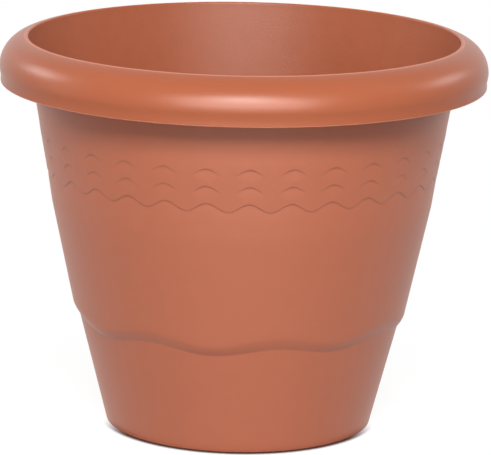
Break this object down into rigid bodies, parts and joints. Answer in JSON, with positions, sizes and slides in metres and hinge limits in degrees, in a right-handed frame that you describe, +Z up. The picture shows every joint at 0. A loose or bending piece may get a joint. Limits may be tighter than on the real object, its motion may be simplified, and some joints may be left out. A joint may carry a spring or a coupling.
{
  "type": "flower pot",
  "caption": "Round flared flower pot with a rolled rim, three wavy lines and a lobed step; holds soil for a plant above a water-reserve plate and four drain plugs.",
  "frame": {"origin": "centre of the base, on the ground under the pot's axis", "axes": "+Z up along the pot's axis, -Y towards the camera of the picture, +X to its right"},
  "size_m": [0.4, 0.4, 0.322],
  "materials": {
    "terracotta_plastic": "matt moulded plastic in terracotta, a little glossier on the rim",
    "dark_plastic": "matt moulded plastic, dark brown"
  },
  "bodies": {
    "pot": {"pot_body": "terracotta_plastic"},
    "reserve": {"reserve_plate": "dark_plastic"},
    "plug_1": {"drain_plug_1": "terracotta_plastic"},
    "plug_2": {"drain_plug_2": "terracotta_plastic"},
    "plug_3": {"drain_plug_3": "terracotta_plastic"},
    "plug_4": {"drain_plug_4": "terracotta_plastic"}
  },
  "joints": [
    {"name": "plate_lift", "type": "slide", "parent": "pot", "child": "reserve", "axis": [0, 0, 1], "range_m": [0, 0.32]},
    {"name": "plug_1_pull", "type": "slide", "parent": "pot", "child": "plug_1", "axis": [0, 0, 1], "range_m": [0, 0.03]},
    {"name": "plug_2_pull", "type": "slide", "parent": "pot", "child": "plug_2", "axis": [0, 0, 1], "range_m": [0, 0.03]},
    {"name": "plug_3_pull", "type": "slide", "parent": "pot", "child": "plug_3", "axis": [0, 0, 1], "range_m": [0, 0.03]},
    {"name": "plug_4_pull", "type": "slide", "parent": "pot", "child": "plug_4", "axis": [0, 0, 1], "range_m": [0, 0.03]}
  ]
}
